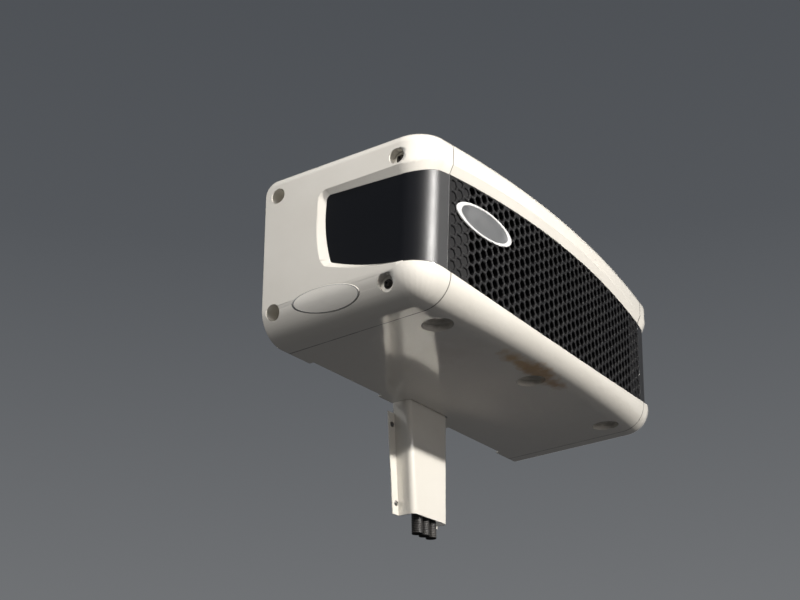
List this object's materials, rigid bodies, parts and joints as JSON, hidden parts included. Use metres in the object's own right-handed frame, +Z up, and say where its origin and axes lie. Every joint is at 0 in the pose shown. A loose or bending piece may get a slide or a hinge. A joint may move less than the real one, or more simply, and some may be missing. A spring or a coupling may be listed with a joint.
{
  "type": "nose-mounted truck refrigeration condensing unit",
  "caption": "White moulded condensing unit for a refrigerated truck body's front wall, with a black honeycomb front, wrap-round corners, top fans and a hose cover.",
  "frame": {"origin": "centre of the wall bolt pattern, in the plane of the truck body's front wall", "axes": "+X along the wall to the viewer's right, +Y into the wall, +Z up; the honeycomb front faces -Y"},
  "size_m": [1.316, 0.5047, 0.8],
  "materials": {
    "white_shell": "white moulded shell with a gloss coat, slightly weathered",
    "black_gloss": "plain black panel, smooth gloss",
    "black_grille": "dark moulded honeycomb, satin",
    "badge_blank": "bare pale oval plate",
    "coil_fins": "black-coated aluminium fins",
    "sheet_metal": "mill finish sheet",
    "frame_steel": "dark grey powder coat",
    "fan_plastic": "black glass-filled plastic",
    "motor_case": "black paint",
    "guard_wire": "black coated wire",
    "copper_tube": "copper tube, dull",
    "vessel_paint": "black paint",
    "drier_paint": "grey-blue paint",
    "box_plastic": "grey plastic box",
    "seal_rubber": "closed-cell rubber strip",
    "hose_rubber": "black corrugated sleeve",
    "fitting_steel": "plated hexagon fittings"
  },
  "bodies": {
    "unit": {"back_plate": "sheet_metal", "blank_oval_plate": "badge_blank", "condensate_pipe": "copper_tube", "condenser_coil": "coil_fins", "discharge_pipe": "copper_tube", "drier_pipe": "copper_tube", "electrical_box": "box_plastic", "fan_deck": "sheet_metal", "filter_drier": "drier_paint", "front_rail": "frame_steel", "front_top_beam": "white_shell", "honeycomb_grille": "black_grille", "hose_cover": "white_shell", "left_corner_panel": "black_gloss", "left_end_cap": "white_shell", "left_fan_guard": "guard_wire", "left_fan_motor": "motor_case", "left_hose_end": "hose_rubber", "left_hose_fitting": "fitting_steel", "left_motor_straps": "frame_steel", "left_receiver_bracket": "frame_steel", "left_side_frame": "frame_steel", "left_tube_sheet": "sheet_metal", "liquid_pipe": "copper_tube", "lower_pan": "white_shell", "middle_hose_end": "hose_rubber", "middle_hose_fitting": "fitting_steel", "receiver_tank": "vessel_paint", "right_corner_panel": "black_gloss", "right_end_cap": "white_shell", "right_fan_guard": "guard_wire", "right_fan_motor": "motor_case", "right_hose_end": "hose_rubber", "right_hose_fitting": "fitting_steel", "right_motor_straps": "frame_steel", "right_receiver_bracket": "frame_steel", "right_side_frame": "frame_steel", "right_tube_sheet": "sheet_metal", "top_cover": "white_shell", "top_rail": "frame_steel", "wall_seal": "seal_rubber", "wiring_conduit": "hose_rubber"},
    "left_fan": {"left_condenser_fan": "fan_plastic"},
    "right_fan": {"right_condenser_fan": "fan_plastic"}
  },
  "joints": [
    {"name": "left_fan_spin", "type": "hinge", "parent": "unit", "child": "left_fan", "pos_m": [-0.235, -0.205, 0.15], "axis": [0, 0, 1], "continuous": true},
    {"name": "right_fan_spin", "type": "hinge", "parent": "unit", "child": "right_fan", "pos_m": [0.235, -0.205, 0.15], "axis": [0, 0, 1], "continuous": true}
  ]
}
